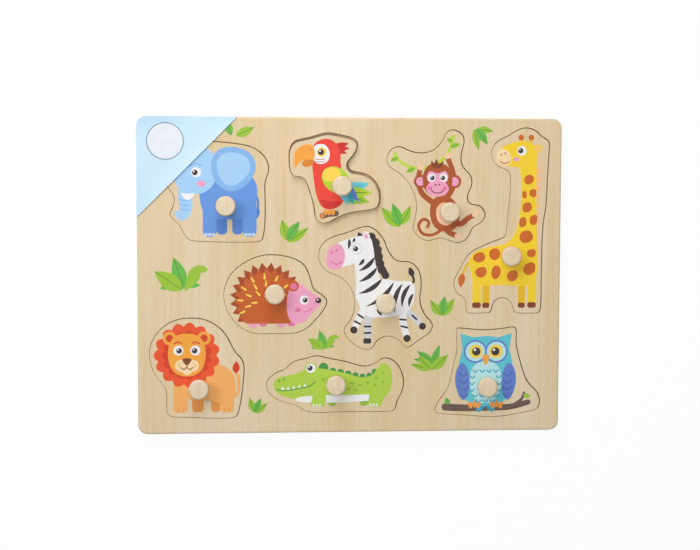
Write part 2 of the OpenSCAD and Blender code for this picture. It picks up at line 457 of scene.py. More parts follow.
def add_turning(name, body, profile, at, material):
    """Turned piece from (radius, height) points that start and end on the axis."""
    points, faces = [], []
    around = [2 * pi * k / KNOB_TURNS for k in range(KNOB_TURNS)]
    for r, z in profile[1:-1]:
        points += [(at[0] + r * cos(a), at[1] + r * sin(a), z) for a in around]
    ends = len(points)
    points += [(*at, profile[0][1]), (*at, profile[-1][1])]
    for k in range(KNOB_TURNS):
        following = (k + 1) % KNOB_TURNS
        faces.append((ends, following, k))
        for ring in range(0, ends - KNOB_TURNS, KNOB_TURNS):
            faces.append((ring + k, ring + following, ring + KNOB_TURNS + following, ring + KNOB_TURNS + k))
        faces.append((ends + 1, ends - KNOB_TURNS + k, ends - KNOB_TURNS + following))
    piece = add_piece(name, body, points, faces, [material])
    piece.data.set_sharp_from_angle(angle=radians(KNOB_CREASE))
    return piece


# Materials

def linear(colour):
    """Scene colour of an sRGB colour from 0 to 255."""
    return tuple(c / 255 / 12.92 if c <= 10 else ((c / 255 + 0.055) / 1.055) ** 2.4 for c in colour)


def new_material(name, colour, roughness, specular):
    """Material and its shader, with a plain colour to start from."""
    made = bpy.data.materials.new(name)
    made.use_nodes = True
    made.diffuse_color = (*linear(colour), 1)
    shader = made.node_tree.nodes["Principled BSDF"]
    shader.inputs["Base Color"].default_value = (*linear(colour), 1)
    shader.inputs["Roughness"].default_value = roughness
    shader.inputs["Specular IOR Level"].default_value = specular
    return made, shader


def node(shader, kind, sockets, **settings):
    """New node in the shader's tree, with values or links on its sockets."""
    tree = shader.id_data
    made = tree.nodes.new("ShaderNode" + kind)
    for key, value in settings.items():
        setattr(made, key, value)
    for key, value in sockets.items():
        if isinstance(value, bpy.types.NodeSocket):
            tree.links.new(value, made.inputs[key])
        else:
            made.inputs[key].default_value = value
    return made


def link(shader, socket, source):
    """Feed one of the shader's sockets."""
    shader.id_data.links.new(source, shader.inputs[socket])


def places(shader):
    """Where each point lies on its object, in metres."""
    return node(shader, "TexCoord", {}).outputs["Object"]


def grain(shader, sizes, detail=2, start=0.0):
    """Noise whose marks are about so many millimetres long in x, y and z. start takes another part of it."""
    scale = [1 / (s * MM) for s in sizes]
    stretched = node(shader, "Mapping", {"Vector": places(shader), "Scale": scale, "Location": (start,) * 3})
    noise = node(shader, "TexNoise", {"Vector": stretched.outputs[0], "Scale": 1.0, "Detail": detail})
    return noise.outputs["Fac"]


def weighed(shader, *parts):
    """Sum of (weight, socket) parts."""
    total = 0.0
    for weight, socket in parts:
        total = node(shader, "Math", {0: socket, 1: weight, 2: total}, operation="MULTIPLY_ADD").outputs[0]
    return total


def ramp(shader, value, *stops):
    """Colours over a value: each stop is (value, sRGB colour), in rising order."""
    made = node(shader, "ValToRGB", {"Fac": value})
    bar = made.color_ramp.elements
    while len(bar) < len(stops):
        bar.new(0.5)
    for element, (at, colour) in zip(bar, stops):
        element.position = at
        element.color = (*linear(colour), 1)
    return made.outputs["Color"]


def mixed(shader, factor, a, b, blend):
    """Colour a with some of colour b blended into it."""
    sockets = {0: factor, 6: a, 7: b}
    return node(shader, "Mix", sockets, data_type="RGBA", blend_type=blend).outputs[2]


def mapped(shader, value, low, high, to_low=0.0, to_high=1.0):
    """A value between low and high, moved to another range."""
    return node(shader, "MapRange", {0: value, 1: low, 2: high, 3: to_low, 4: to_high}).outputs[0]


def bumped(shader, height, depth):
    """Relief from a height value, about so many millimetres deep."""
    made = node(shader, "Bump", {"Height": height, "Distance": depth * MM, "Strength": 1.0})
    link(shader, "Normal", made.outputs["Normal"])


def face_grain(shader):
    """The figure of the face veneer, with the grain along y: broad bands, growth lines and fibres."""
    bands = grain(shader, (15, 150, 15))
    growth = grain(shader, (2.6, 90, 2.6), 4, 7.0)
    fibres = grain(shader, (0.55, 8, 0.55), 3, 3.0)
    return weighed(shader, (0.34, bands), (0.44, growth), (0.22, fibres))


def veneer_material(name):
    """Pale sanded face veneer."""
    made, shader = new_material(name, WOOD_MID, 0.5, 0.3)
    figure = face_grain(shader)
    plain = ramp(shader, figure, (0.34, WOOD_DARK), (0.5, WOOD_MID), (0.66, WOOD_LIGHT))
    toned = ramp(shader, grain(shader, (64, 420, 64), 1, 13.0), (0.38, WHITE), (0.62, WOOD_TONE))
    plain = mixed(shader, 1.0, plain, toned, "MULTIPLY")
    fleck = ramp(shader, grain(shader, (0.5, 7, 0.5), 1, 11.0), (0.68, WHITE), (0.78, WOOD_FLECK))
    link(shader, "Base Color", mixed(shader, 0.6, plain, fleck, "MULTIPLY"))
    link(shader, "Roughness", mapped(shader, figure, 0.3, 0.7, 0.44, 0.58))
    bumped(shader, figure, 0.06)
    return made


def ply_material(name, low, high, light, core, glue):
    """Edge of plywood between two heights: three plies with dark glue lines between them."""
    made, shader = new_material(name, light, 0.7, 0.2)
    height = node(shader, "SeparateXYZ", {0: places(shader)}).outputs["Z"]
    share = mapped(shader, height, low * MM, high * MM)
    first, second = PLY_JOINTS
    plies = ramp(shader, share, (0, light), (first - GLUE_BLUR, light), (first, glue),
                 (first + GLUE_BLUR, core), (second - GLUE_BLUR, core), (second, glue),
                 (second + GLUE_BLUR, light), (1, light))
    ends = weighed(shader, (0.6, grain(shader, (0.7, 0.7, 0.25), 3)), (0.4, grain(shader, (7, 7, 3), 2, 5.0)))
    shade = ramp(shader, ends, (0.3, EDGE_SHADE), (0.68, WHITE))
    link(shader, "Base Color", mixed(shader, 0.9, plies, shade, "MULTIPLY"))
    bumped(shader, ends, 0.12)
    return made


def knob_material():
    """Turned pale hardwood under a thin clear finish, with end grain on its top."""
    made, shader = new_material("turned_wood", KNOB_LIGHT, 0.36, 0.4)
    broad, fine = grain(shader, (1.7, 9, 40)), grain(shader, (0.5, 2.4, 18), 2, 4.0)
    along = weighed(shader, (0.65, broad), (0.35, fine))
    plain = ramp(shader, along, (0.32, KNOB_DARK), (0.66, KNOB_LIGHT))
    pores = ramp(shader, grain(shader, (0.35, 1.6, 9), 1, 9.0), (0.68, WHITE), (0.78, KNOB_PORE))
    link(shader, "Base Color", mixed(shader, 0.6, plain, pores, "MULTIPLY"))
    bumped(shader, along, 0.02)
    shader.inputs["Coat Weight"].default_value = 0.15
    shader.inputs["Coat Roughness"].default_value = 0.25
    return made


def ink_material(ink):
    """Printed colour, through which the figure of the wood, or the paper's cloudiness, shows a little."""
    name = "ink_" + ink
    if name in bpy.data.materials:
        return bpy.data.materials[name]
    made, shader = new_material(name, INKS[ink], 0.42, 0.35)
    ground, figure = WOOD_DARK, face_grain(shader)
    if ink in PAPER_INKS:
        ground, figure = CARD_DEEP, grain(shader, (6, 6, 6))
    thin = [INK_COVER * c + (1 - INK_COVER) * g for c, g in zip(INKS[ink], ground)]
    full = [min(255, INK_FULL * c) for c in INKS[ink]]
    speckle = grain(shader, (0.35, 0.9, 0.35), 2, 2.0)
    tone = weighed(shader, (0.7, figure), (0.3, speckle))
    link(shader, "Base Color", ramp(shader, tone, (0.34, thin), (0.56, full)))
    bumped(shader, figure, 0.03)
    return made


def paper_material():
    """Coated pale blue card, with faint slanting white streaks screened on as painted glints: painted
    reflections of light.
    """
    made, shader = new_material("card_paper", CARD_PALE, 0.38, 0.45)
    slant = {"Vector": places(shader), "Rotation": (0, 0, radians(GLINT_STREAK_TURN)), "Scale": GLINT_STREAK_SCALE}
    turned = node(shader, "Mapping", slant).outputs[0]
    glint_streaks = node(shader, "TexNoise", {"Vector": turned, "Scale": 1.0, "Detail": 3}).outputs["Fac"]
    clouds = grain(shader, (46, 46, 46), 1, 3.0)
    plain = ramp(shader, clouds, (0.36, CARD_DEEP), (0.62, CARD_PALE))
    # Painted reflection: the glint streaks are screened over the card's colour
    glint = ramp(shader, glint_streaks, (0.58, BLACK), (0.72, CARD_GLINT))
    link(shader, "Base Color", mixed(shader, 1.0, plain, glint, "SCREEN"))
    bumped(shader, grain(shader, (0.3, 0.3, 0.3)), 0.01)
    return made


# The nine animals, each drawn about the axis of its knob, from back to front: (ink, closed line)

def elephant():
    yield "deep_blue", stroke(1.5, (19, 9), (22.3, 5), (22.4, -2))
    yield "deep_blue", leaf((22.4, -1), (21.8, -9), 3.4)
    for x in (-6.5, 4.5):
        yield "deep_blue", panel(x, -20, x + 7.5, 2, 3)
    yield "blue", blob(
        (-19, 4), (-17, 22), (-2, 27), (14, 25), (22.5, 16), (21.5, 2), (20, -8), (4, -10), (-14, -8))
    for x in (-16, 12):
        yield "blue", panel(x, -21.5, x + 9.5, 4, 3.4)
        for k in range(3):
            yield "pale_blue", oval(x + 2.2 + 2.6 * k, -20, 1.15, 1)
    yield "sky", blob((-38, 22), (-36, 36), (-24, 42), (-10, 40), (-4, 28), (-8, 14), (-18, 7), (-32, 10))
    yield "sky", stroke(11.5, (-27, 15), (-28, 5), (-27.6, -3), (-30.4, -7.2), (-33.6, -5.4), end=4.4)
    for y in (4.5, 1.2, -2):
        yield "ear_blue", stroke(0.7, (-32.2, y), (-29, y - 0.9), (-26, y - 0.6))
    yield "white", leaf((-21.5, 8.5), (-31.5, 9.2), 4.6, 2.6)
    yield "ear_blue", blob((-11, 30), (-6, 40), (6, 42), (19, 37), (22, 25), (14, 13), (2, 9), (-8, 16))
    yield "sky", blob((-7, 30), (-3, 36.5), (6, 38), (16, 34), (18, 25), (11, 16.5), (2, 13), (-4.5, 19))
    yield from eye(-20.5, 23.5, 3.5, (-0.9, -0.2))
    yield "ear_blue", stroke(0.9, (-24.5, 28.2), (-20.5, 29.4), (-16.8, 28))
    yield "pink", oval(-17, 15.5, 3, 2.2)


def parrot():
    tail = ((20, -11.4, "leaf", "vein"), (19.8, 1.8, "cyan", "deep_teal"), (21.8, -4.6, "lime", "vein"))
    for x, y, ink, vein in tail:
        yield ink, leaf((-4, -5), (x, y), 8.5)
        yield vein, stroke(0.5, (5, -4.6 + (y + 5) * 0.35), (x - 4, y + (-5 - y) * 0.15))
    yield "branch", stroke(4.2, (-13, -21), (-8.6, -19.6), (-3.6, -19.2))
    yield "deep_beak", oval(-13.2, -21, 1.5, 1.8)
    for tip in ((5.4, 29.6), (6, 26), (4, 22.6)):
        yield "deep_red", leaf((-8, 24), tip, 4.6, 1.2)
    yield "red", blob(
        (-19, 31), (-8, 34), (0, 26), (-1, 14), (4, 6), (5, -6), (-2, -16), (-13, -17), (-18, -6),
        (-20, 10), (-21, 22))
    yield "deep_red", blob((-12, -16), (-3, -16), (2, -10), (-8, -11), (-15.5, -9))
    for x, turn in ((-11, 12), (-8.4, 4), (-5.6, -8)):
        yield "claw", oval(x, -18.4, 1.25, 2.1, turn)
    yield "white", blob((-20.5, 28), (-12, 30), (-7.5, 24), (-9, 16.5), (-16, 14.5), (-20.5, 19))
    for y in (17, 18.7):
        yield "deep_red", stroke(0.45, (-18, y), (-14.6, y - 0.4), (-11.4, y + 0.3))
    yield "deep_beak", blob((-19.5, 20), (-25.5, 19), (-28.5, 14.6), (-24, 12.6), (-18.5, 15.4))
    yield "beak", blob(
        (-18.4, 17.6), (-18.4, 28), (-25, 29.6), (-32.5, 25), (-33.6, 17), (-32.2, 11.2), (-29.8, 16.4),
        (-24.6, 18.8))
    yield "deep_beak", oval(-21.4, 25.4, 0.7, 1)
    yield "straw", oval(-13.8, 23.6, 3.3)
    yield "ink", oval(-14.2, 23.6, 2.1)
    yield "white", oval(-14.9, 24.4, 0.65)
    for tip, ink in (((12.6, -11.4), "wing"), ((9.2, -13.2), "deep_teal"), ((5, -13.8), "cyan")):
        yield ink, leaf((-8, 8), tip, 7.6, 1.5)
    yield "lime", blob((-13.5, 11), (-6, 14.5), (3, 11), (7.5, 2), (1.5, -6.6), (-6.5, -4.6), (-13.5, 2))
    yield "straw", blob((-13, 11), (-6, 13.8), (1, 10), (-3, 3.6), (-9.4, 2.8), (-13.4, 5.4))


def monkey():
    yield "vine", stroke(
        2.2, (-38, 41), (-34, 35.2), (-25, 31), (-13, 31.6), (-4, 37.5), (1.4, 45.5), (3.6, 53.5))
    for base, tip in (
            ((-36, 38), (-41.4, 36)), ((-24, 31), (-30.2, 27.8)), ((1.4, 46), (8.4, 48.2)),
            ((2.6, 49.6), (-1.4, 51.9))):
        yield "leaf", leaf(base, tip, 3.6)
        yield "vein", stroke(0.4, base, tuple((b + 3 * t) / 4 for b, t in zip(base, tip)))
    yield "brown", stroke(
        2.1, (-5, -13), (-11, -16.2), (-18, -15.4), (-21, -9.6), (-17.6, -5.2), (-13.6, -7.4),
        (-14.6, -10.6))
    yield "brown", stroke(4.2, (-4, 6), (3, 17), (3.2, 28), (-1, 39), end=3.4)
    yield "brown", stroke(4.2, (-10, 6), (-18.6, 13), (-21.4, 22), (-20, 31), end=3.4)
    yield "skin", oval(-0.6, 39.6, 2.5, 2.1, 30)
    yield "skin", oval(-20, 31.4, 2.5, 2.1, -15)
    yield "brown", stroke(4.6, (1, -7), (9, -8.4), (14.4, -4.4), (18.8, -2.2), end=3.2)
    yield "skin", oval(19.6, -1.4, 2.8, 1.9, 35)
    yield "brown", stroke(4.6, (-4, -9), (1, -14.6), (6.4, -16.8), end=3.4)
    yield "skin", oval(7.6, -17.2, 2.9, 2, -10)
    yield "brown", blob((-13, 8), (-4, 13), (6, 8), (9, -6), (4, -14), (-7, -14), (-13, -6))
    yield "skin", blob((-9, 3), (-3, 8), (3.6, 3), (5, -6), (-1, -10.6), (-8, -7))
    for x in (-19.8, 4.4):
        yield "brown", oval(x, 21.5, 4.8)
        yield "pink", oval(x, 21.5, 3.1)
    yield "brown", blob(
        (-19, 26), (-14, 34.6), (-1.6, 34.6), (3.6, 26), (1.8, 14), (-7.7, 9.6), (-17.2, 14))
    for tip, bow in (((-12.2, 36.2), 0.8), ((-8.2, 37.4), 0.4), ((-4, 36), -0.8)):
        yield "deep_brown", leaf((-8.4, 31), tip, 2.6, bow)
    yield "pink", blob(
        (-16, 24), (-13.6, 30), (-7.7, 26.4), (-1.8, 30), (0.6, 24), (-2.6, 19.4), (-12.8, 19.4))
    yield "pink", oval(-7.7, 16.4, 8, 5.6)
    yield from eye(-11.9, 24.2, 2.9, (0.5, -0.2))
    yield from eye(-3.5, 24.2, 2.9, (-0.5, -0.2))
    yield "deep_brown", oval(-9, 19.2, 0.8, 0.6, 25)
    yield "deep_brown", oval(-6.4, 19.2, 0.8, 0.6, -25)
    yield "deep_brown", stroke(0.8, (-12.4, 15.8), (-9.8, 13.6), (-5.6, 13.6), (-3, 15.8))
    for x in (-13, -2.4):
        yield "deep_pink", oval(x, 16.8, 1.7, 1.2)


def giraffe():
    yield "deep_yellow", stroke(1.7, (-24, -2), (-30.4, -7), (-33.6, -14))
    yield "patch", leaf((-33.2, -12.6), (-34.8, -22.6), 5)
    for x in (-18.9, 6.8):
        yield "deep_yellow", panel(x, -37, x + 5, -8, 1.6)
        yield "deep_brown", panel(x, -37.4, x + 5, -33.6, 1.4)
    for k in range(8):
        yield "peach", leaf((17.6, 59 - 6 * k), (23.2 - 0.3 * k, 61 - 6 * k), 5)
    yield "yellow", blob(
        (7, 82), (6.4, 66), (8.8, 50), (8, 32), (5.4, 17), (-1, 8), (-13, 6.4), (-25, 3.4), (-29.6, -4),
        (-26.4, -16), (-24, -22.4), (-4, -20.6), (14, -22.8), (20.8, -17), (20.4, 4), (19.4, 30),
        (19.2, 60), (20, 78))
    for x in (-26.2, 13.6):
        yield "yellow", panel(x, -37, x + 6.2, -8, 1.8)
        yield "deep_brown", panel(x, -37.4, x + 6.2, -33.4, 1.5)
    for x, lean in ((8.6, -0.7), (14.4, 0.8)):
        yield "deep_yellow", stroke(2.2, (x, 77), (x + lean, 83), end=1.8)
    for x in (7.9, 15.2):
        yield "patch", oval(x, 83.8, 2)
    yield "yellow", leaf((15.4, 73), (24, 77.4), 5.6, 0.7)
    yield "peach", leaf((17.2, 74), (22.6, 76.6), 2.7, 0.4)
    yield "yellow", blob((-9.4, 65), (-9.4, 75.4), (1.5, 80.6), (14, 82), (20.6, 74), (16.5, 64), (5, 62.2))
    yield "cream", blob((-9.8, 66.6), (-9.4, 75), (-3, 76), (1.6, 70.4), (-0.4, 64.2), (-5.4, 63.8))
    for x, y in ((-6.2, 71.6), (-3.4, 72.6)):
        yield "patch", oval(x, y, 0.8, 0.6, 60)
    yield "patch", stroke(0.8, (-7.2, 66.8), (-3.8, 65.4), (-0.4, 66.8))
    yield from eye(8.4, 74.4, 3.4, (-0.8, 0.1))
    yield "pink", oval(4.4, 68.4, 2.1, 1.6)
    for patch in (
            ((11, 57), (16.4, 58), (18, 53), (13.4, 50), (10, 52)),
            ((14, 47), (19.6, 47.6), (19, 41), (14.4, 42)), ((9, 46), (12.4, 46), (12.4, 40.4), (9, 41)),
            ((9.6, 37), (15, 38.6), (17, 33), (12.4, 30), (9, 32)),
            ((14.4, 28), (20.4, 30), (20, 22), (15, 21.4)), ((7.2, 27), (12, 28), (12.6, 21), (7, 19.4)),
            ((8, 17), (15, 18.6), (18.4, 12), (12, 8), (7, 11)),
            ((-14, 4.6), (-7, 5.6), (-6, -1), (-10.4, -4), (-14.6, -1)),
            ((-25, 1.6), (-18, 3), (-16.6, -3), (-21.6, -5.6), (-26.4, -3)),
            ((-24, -9), (-16.4, -7.4), (-15.6, -13.6), (-20, -16.4), (-24.2, -14)),
            ((-12, -8), (-7.4, -6.4), (-5, -12), (-9, -18), (-13, -15)),
            ((0, -11), (6, -10), (7, -16), (2, -19.4), (-2, -16)),
            ((11, -6), (19, -4), (19.4, -12), (14, -14.6), (10, -12)),
            ((12.6, 4), (19.4, 5), (19.4, -1), (13.4, -1.4))):
        yield "patch", blob(*patch)


def hedgehog():
    for x in (-8, 12):
        yield "deep_pink", oval(x, -21.6, 2.8, 1.9)
    for x in (-15, 5):
        yield "pink", oval(x, -22.2, 3, 2.1)
    yield "deep_rust", star(-5.4, -4, 26, 21.6, 17, -38, 256)
    yield "rust", star(-5.4, -5, 23, 19, 16, -34, 248)
    yield "rust", panel(-23, -21.4, 14, -8, 5)
    for r, count, start in ((18.4, 8, 10), (13.2, 6, 20), (8.4, 4, 30)):
        for k in range(count):
            a = radians(start + (214 - 2 * start) * k / (count - 1))
            ends = [(-6 + reach * cos(a), -6 + reach * sin(a)) for reach in (r - 1.7, r + 1.7)]
            yield "straw", stroke(1.6, *ends, end=0.8)
    yield "pink", blob(
        (10, 4), (18, 8), (25, 1), (32.4, -3), (33, -9), (26, -14), (21, -21.6), (11, -21.6), (8, -10))
    yield "rust", oval(13.4, 5.2, 3.9)
    yield "deep_pink", oval(13.6, 4.8, 2.3)
    yield "ink", oval(31, -5.2, 2.2, 1.9)
    yield "white", oval(30.4, -4.6, 0.6)
    yield from eye(21, -4.8, 3.2, (0.7, 0))
    yield "deep_pink", stroke(0.8, (21.4, -13.2), (24.2, -12.4), (26.6, -10.2))
    yield "deep_pink", oval(16.6, -11.8, 2.2, 1.6)


def zebra():
    yield "ink", stroke(1.6, (18, 12), (20.8, 15.6), (19.6, 20))
    yield "ink", leaf((20.2, 18.4), (17.6, 25.4), 4.2)
    for path in (((-8, -4), (-12, -12), (-11.8, -20), (-12.2, -26)), ((14, -4), (19.6, -9), (26.4, -15.8))):
        yield "grey", stroke(5.4, *path, end=4)
    yield "ink", panel(-15, -29, -9.4, -25.2, 1.2)
    yield "ink", oval(27.2, -16.8, 2.5)
    for path in (((-12, -3), (-17, -9), (-21.2, -18)), ((13, -3), (13.2, -13), (16, -24.6))):
        yield "white", stroke(6.4, *path, end=4.2)
    yield "ink", oval(-21.8, -19.2, 2.6)
    yield "ink", oval(16.2, -25.4, 2.6)
    yield "white", blob(
        (-20, 2), (-20, 18), (-6, 18), (10, 15), (20.6, 16), (22.4, 5), (17, -8), (2, -10.4), (-14, -10.6))
    yield "ink", stroke(5, (-9.6, 46.6), (-5.4, 37.8), (-3.6, 28), (0.6, 19.6))
    for curl in (
            (-9.6, 46.6, 3.2), (-6.8, 42.6, 3.3), (-5.4, 37.8, 3.3), (-4.6, 32.8, 3.3), (-3.6, 28, 3.2),
            (-2, 23.6, 3), (0.6, 19.6, 2.7)):
        yield "ink", oval(*curl)
    yield "white", blob(
        (-21, -2), (-20, 16), (-22, 34), (-15, 48), (-8.4, 44), (-7, 28), (-2.6, 16), (-4, 4))
    yield "ink", leaf((-15.6, 43), (-18.8, 50.2), 4.6)
    yield "white", blob(
        (-11, 48.6), (-7.6, 40), (-13, 31), (-28, 25.6), (-39, 25), (-40.6, 35), (-34.6, 42), (-24, 46.4))
    yield "white", leaf((-12.4, 44), (-14, 51), 5)
    yield "pink", leaf((-12.8, 45.2), (-13.9, 49.6), 2.5)
    yield "pink", blob((-30.4, 24), (-41.4, 23.4), (-41.6, 36.4), (-35.4, 42.6), (-29.8, 41), (-27.6, 33))
    for x, y in ((-37.4, 35.8), (-34.2, 37.4)):
        yield "deep_pink", oval(x, y, 1.1, 0.8, 40)
    yield "deep_pink", stroke(0.9, (-38, 29.4), (-34.2, 27.4), (-30.4, 29.2))
    yield "grey", oval(-19.8, 38.4, 3.8)
    yield from eye(-19.8, 38.4, 3.3, (-0.9, 0))
    for stripe in (
            ((-25.4, 45.6), (-26, 38), 2.2, 0.6), ((-21.4, 46.2), (-22.8, 42.8), 1.8, 0.3),
            ((-14.6, 31.4), (-18.6, 26.6), 2.4, 0.5), ((-7, 32.6), (-18.6, 22.6), 3, 1.4),
            ((-5.2, 25.4), (-18.6, 15), 3.1, 1.6), ((-1.6, 17.4), (-18.8, 6.6), 3.3, 2),
            ((6.6, 15), (-13.6, -2.6), 3.3, 3), ((12.8, 13.6), (7.4, -7.6), 3.3, -2.4),
            ((18.4, 13), (12.6, -3.4), 3.1, -2), ((20.6, 6.6), (17.6, -3.4), 2.5, -1),
            ((-2, -9.2), (-5, -1.4), 2.7, 0.6)):
        yield "ink", leaf(*stripe)
    for x, y, turn in (
            (-17, -9.4, 57), (-19.2, -14, 63), (13.2, -12, 86), (14.2, -17.2, 76), (-12, -16.8, 90),
            (-12, -21.4, 92), (21.4, -10.4, 47)):
        across, down = 2.1 * sin(radians(turn)), 2.1 * cos(radians(turn))
        yield "ink", stroke(1.4, (x - across, y + down), (x + across, y - down))


def lion():
    nose = -8.5
    yield "tan", stroke(2.2, (22, -8), (27.2, -4), (27.6, 6), (25.4, 12))
    yield "deep_mane", leaf((25.6, 10), (26.4, 18.6), 5)
    yield "deep_tan", panel(-5, -17.4, 3, 4, 2.6)
    yield "deep_tan", panel(8.4, -17.4, 15, 2, 2.6)
    yield "tan", blob((-16, 6), (-4, 16), (14, 18), (25.6, 10), (26, -6), (22, -12), (6, -9), (-14, -8))
    for x in (-18, 14.6):
        yield "tan", panel(x, -17.8, x + 10, 4, 3)
        for toe in (x + 3.4, x + 6.6):
            yield "deep_tan", stroke(0.6, (toe, -17.2), (toe, -14.6))
    yield "mane", petals(nose, 23, 20.4, 2.8, 15)
    yield "deep_mane", petals(nose, 23, 15.4, 2, 15)
    for x in (-20.5, 3.5):
        yield "gold", oval(x, 35, 4.8)
        yield "deep_mane", oval(x, 35, 2.6)
    yield "gold", blob(
        (-22, 30), (-16, 38.4), (-1, 38.4), (5, 30), (4.4, 16), (-2, 8), (-15, 8), (-21.4, 16))
    for x in (-12.3, -4.7):
        yield "cream", oval(x, 15.6, 4.6, 4.2)
    yield "cream", oval(nose, 12, 3.4, 3)
    yield "deep_brown", blob((-12.6, 21), (-4.4, 21), (-6.6, 17), (nose, 15.6), (-10.4, 17))
    yield "deep_brown", stroke(0.7, (nose, 17), (nose, 14.6))
    for s in SIDES:
        yield "deep_brown", stroke(0.7, (nose, 14.6), (nose + s * 2, 13), (nose + s * 4, 14.2))
    for s in SIDES:
        for d, y in ((4.4, 17.4), (6, 16), (5, 14.8)):
            yield "deep_tan", oval(nose + s * d, y, 0.5)
    yield from eye(-14.4, 26.4, 3.5, (0.5, -0.2))
    yield from eye(-2.6, 26.4, 3.5, (-0.5, -0.2))
    for s in SIDES:
        yield "deep_mane", stroke(1, (nose + s * 4, 31.6), (nose + s * 6.4, 32.4), (nose + s * 8.8, 31.2))


def resized(art, scale, about):
    """The same shapes, drawn larger or smaller about a point."""
    return [(ink, [tuple(about[n] + scale * (p[n] - about[n]) for n in (0, 1)) for p in line])
            for ink, line in art]


def large_crocodile():
    yield "deep_green", oval(-8.8, 13.4, 3.8)
    for x, y, s in (
            (-1.5, 9.5, 3.2), (4.6, 8.4, 3.2), (10.6, 7.2, 3.1), (16.4, 5.8, 3), (22, 5, 2.8),
            (27.2, 6, 2.6), (31.4, 9.4, 2.3)):
        top = y + 1.2 * s
        yield "deep_green", blob((x - s, y - 3), (x - 0.8 * s, top), (x + 0.8 * s, top), (x + s, y - 3))
    for x in (-5, 20):
        yield "mid_green", panel(x, -17.2, x + 6.4, -6, 2.4)
    yield "green", blob(
        (-48, -5), (-48, 5), (-38, 7), (-28, 9), (-20, 14), (-6, 12), (8, 9), (22, 4.6), (30, 7), (34, 13),
        (39, 18), (45, 12), (46, 0), (42, -9), (36, -14), (12, -13), (-20, -13.6), (-40, -10))
    yield "white", blob(
        (-30, -9.6), (-8, -8.6), (16, -8.6), (34, -8), (36, -12.6), (10, -14.6), (-16, -14.6), (-32, -13.6))
    for x in (-16, 29):
        yield "green", blob(
            (x - 1, -4), (x + 9, -4), (x + 9.6, -17), (x + 3, -18), (x - 3.6, -17.4), (x - 2, -13))
        for k in range(3):
            yield "white", leaf((x - 0.4 + 2.6 * k, -15.4), (x - 1.2 + 2.6 * k, -17.8), 1.5)
    for x, y, s in (
            (8, 2.4, 1), (14, 1, 1), (20, -0.6, 0.9), (5, -2.6, 0.9), (11, -3.8, 0.9), (17, -4.8, 0.8),
            (26, 1, 0.8), (33, 4.6, 0.8), (38.4, 8.6, 0.7), (32, -1, 0.8), (38, 1.6, 0.7), (-9, 4, 0.9),
            (-4, -3.4, 0.9)):
        yield "mid_green", oval(x, y, 1.7 * s, 1.1 * s, -14)
    yield "green", oval(-18.6, 12.2, 5.2)
    yield from eye(-18.8, 12.8, 3.7, (-0.7, 0.2))
    for x, y in ((-42.4, -4.4), (-38, -4.4), (-33.6, -3.8), (-29.2, -3), (-24.8, -2.2)):
        yield "white", [(x, y), (x + 2.8, y + 0.3), (x + 1.3, y + 3.2)]
    yield "deep_green", stroke(0.9, (-45.4, -3.8), (-40, -4.8), (-30, -3.4), (-20.4, -1.4), (-15.6, 1.8))
    for x, y in ((-43.6, 3), (-40, 4.2)):
        yield "deep_green", oval(x, y, 0.9, 0.7, 30)


def crocodile():
    return resized(large_crocodile(), CROCODILE_SCALE, CROCODILE_MIDDLE)


def owl():
    yield "branch", stroke(5.4, (-29, -15.4), (-16, -16.2), (4, -16), (18, -15.6), (31, -12.4), end=3.8)
    yield "branch", stroke(2.4, (20, -14.6), (26, -10.4), (28, -5.4), end=1.6)
    for path in (
            ((-27, -14.6), (-18, -15.2), (-12, -15)), ((-24, -16.8), (-8, -17.4)), ((6, -15), (18, -14.6)),
            ((2, -17.8), (14, -17.4), (24, -15))):
        yield "deep_branch", stroke(0.6, *path)
    yield "leaf", leaf((27.4, -7), (32.6, -8.6), 3.6)
    yield "deep_leaf", leaf((-26, -13.6), (-28.2, -8.4), 3.8, 0.6)
    yield "vein", stroke(0.4, (-26.2, -13.2), (-27.6, -9.8))
    for s in SIDES:
        yield "deep_teal", leaf((s * 3, -10), (s * 5, -19.6), 7)
    for s in SIDES:
        yield "teal", [(s * 4, 33), (s * 18.6, 37.4), (s * 16.4, 22)]
    yield "teal", blob(
        (-17.4, 26), (-12, 35.4), (12, 35.4), (17.4, 26), (20.6, 10), (18, -8), (8, -15), (-8, -15),
        (-18, -8), (-20.6, 10))
    yield "pale_teal", blob(
        (-9.6, 15), (0, 18), (9.6, 15), (12.4, 2), (8, -11.6), (0, -13.6), (-8, -11.6), (-12.4, 2))
    for y, xs in (
            (11, (-7.4, -2.5, 2.5, 7.4)), (-6.8, (-7.6, -2.6, 2.6, 7.6)), (-10.6, (-5, 0, 5)),
            (6.8, (-9.4, 9.4)), (2, (-9.8, 9.8)), (-2.6, (-9.8, 9.8))):
        for x in xs:
            yield "deep_teal", stroke(0.9, (x - 1.7, y), (x, y - 1.6), (x + 1.7, y))
    for s in SIDES:
        yield "wing", blob(
            (s * 16, 18), (s * 21.6, 12), (s * 22.4, 0), (s * 17, -12.4), (s * 11.6, -7), (s * 11.4, 8))
        for y in (9, 4, -1, -6):
            yield "deep_wing", stroke(0.9, (s * 12.8, y), (s * 16, y - 2.4), (s * 19.2, y + 0.4))
        yield "wing", oval(s * 7.6, 24.4, 8.3)
        yield "pale_teal", oval(s * 7.6, 24.4, 7)
        yield "straw", oval(s * 7.2, 24.4, 4.9)
        yield "ink", oval(s * 6.9, 24.4, 3)
        yield "white", oval(s * 6.9 - 1, 25.6, 0.95)
        for d in (-3, 0, 3):
            yield "claw", oval(s * 8 + d, -13.4 - 0.3 * abs(d), 1.5, 2.5, -6 * d)
    yield "beak", blob((-3, 21.4), (0, 22.6), (3, 21.4), (2, 17.6), (0, 13.4), (-2, 17.6))


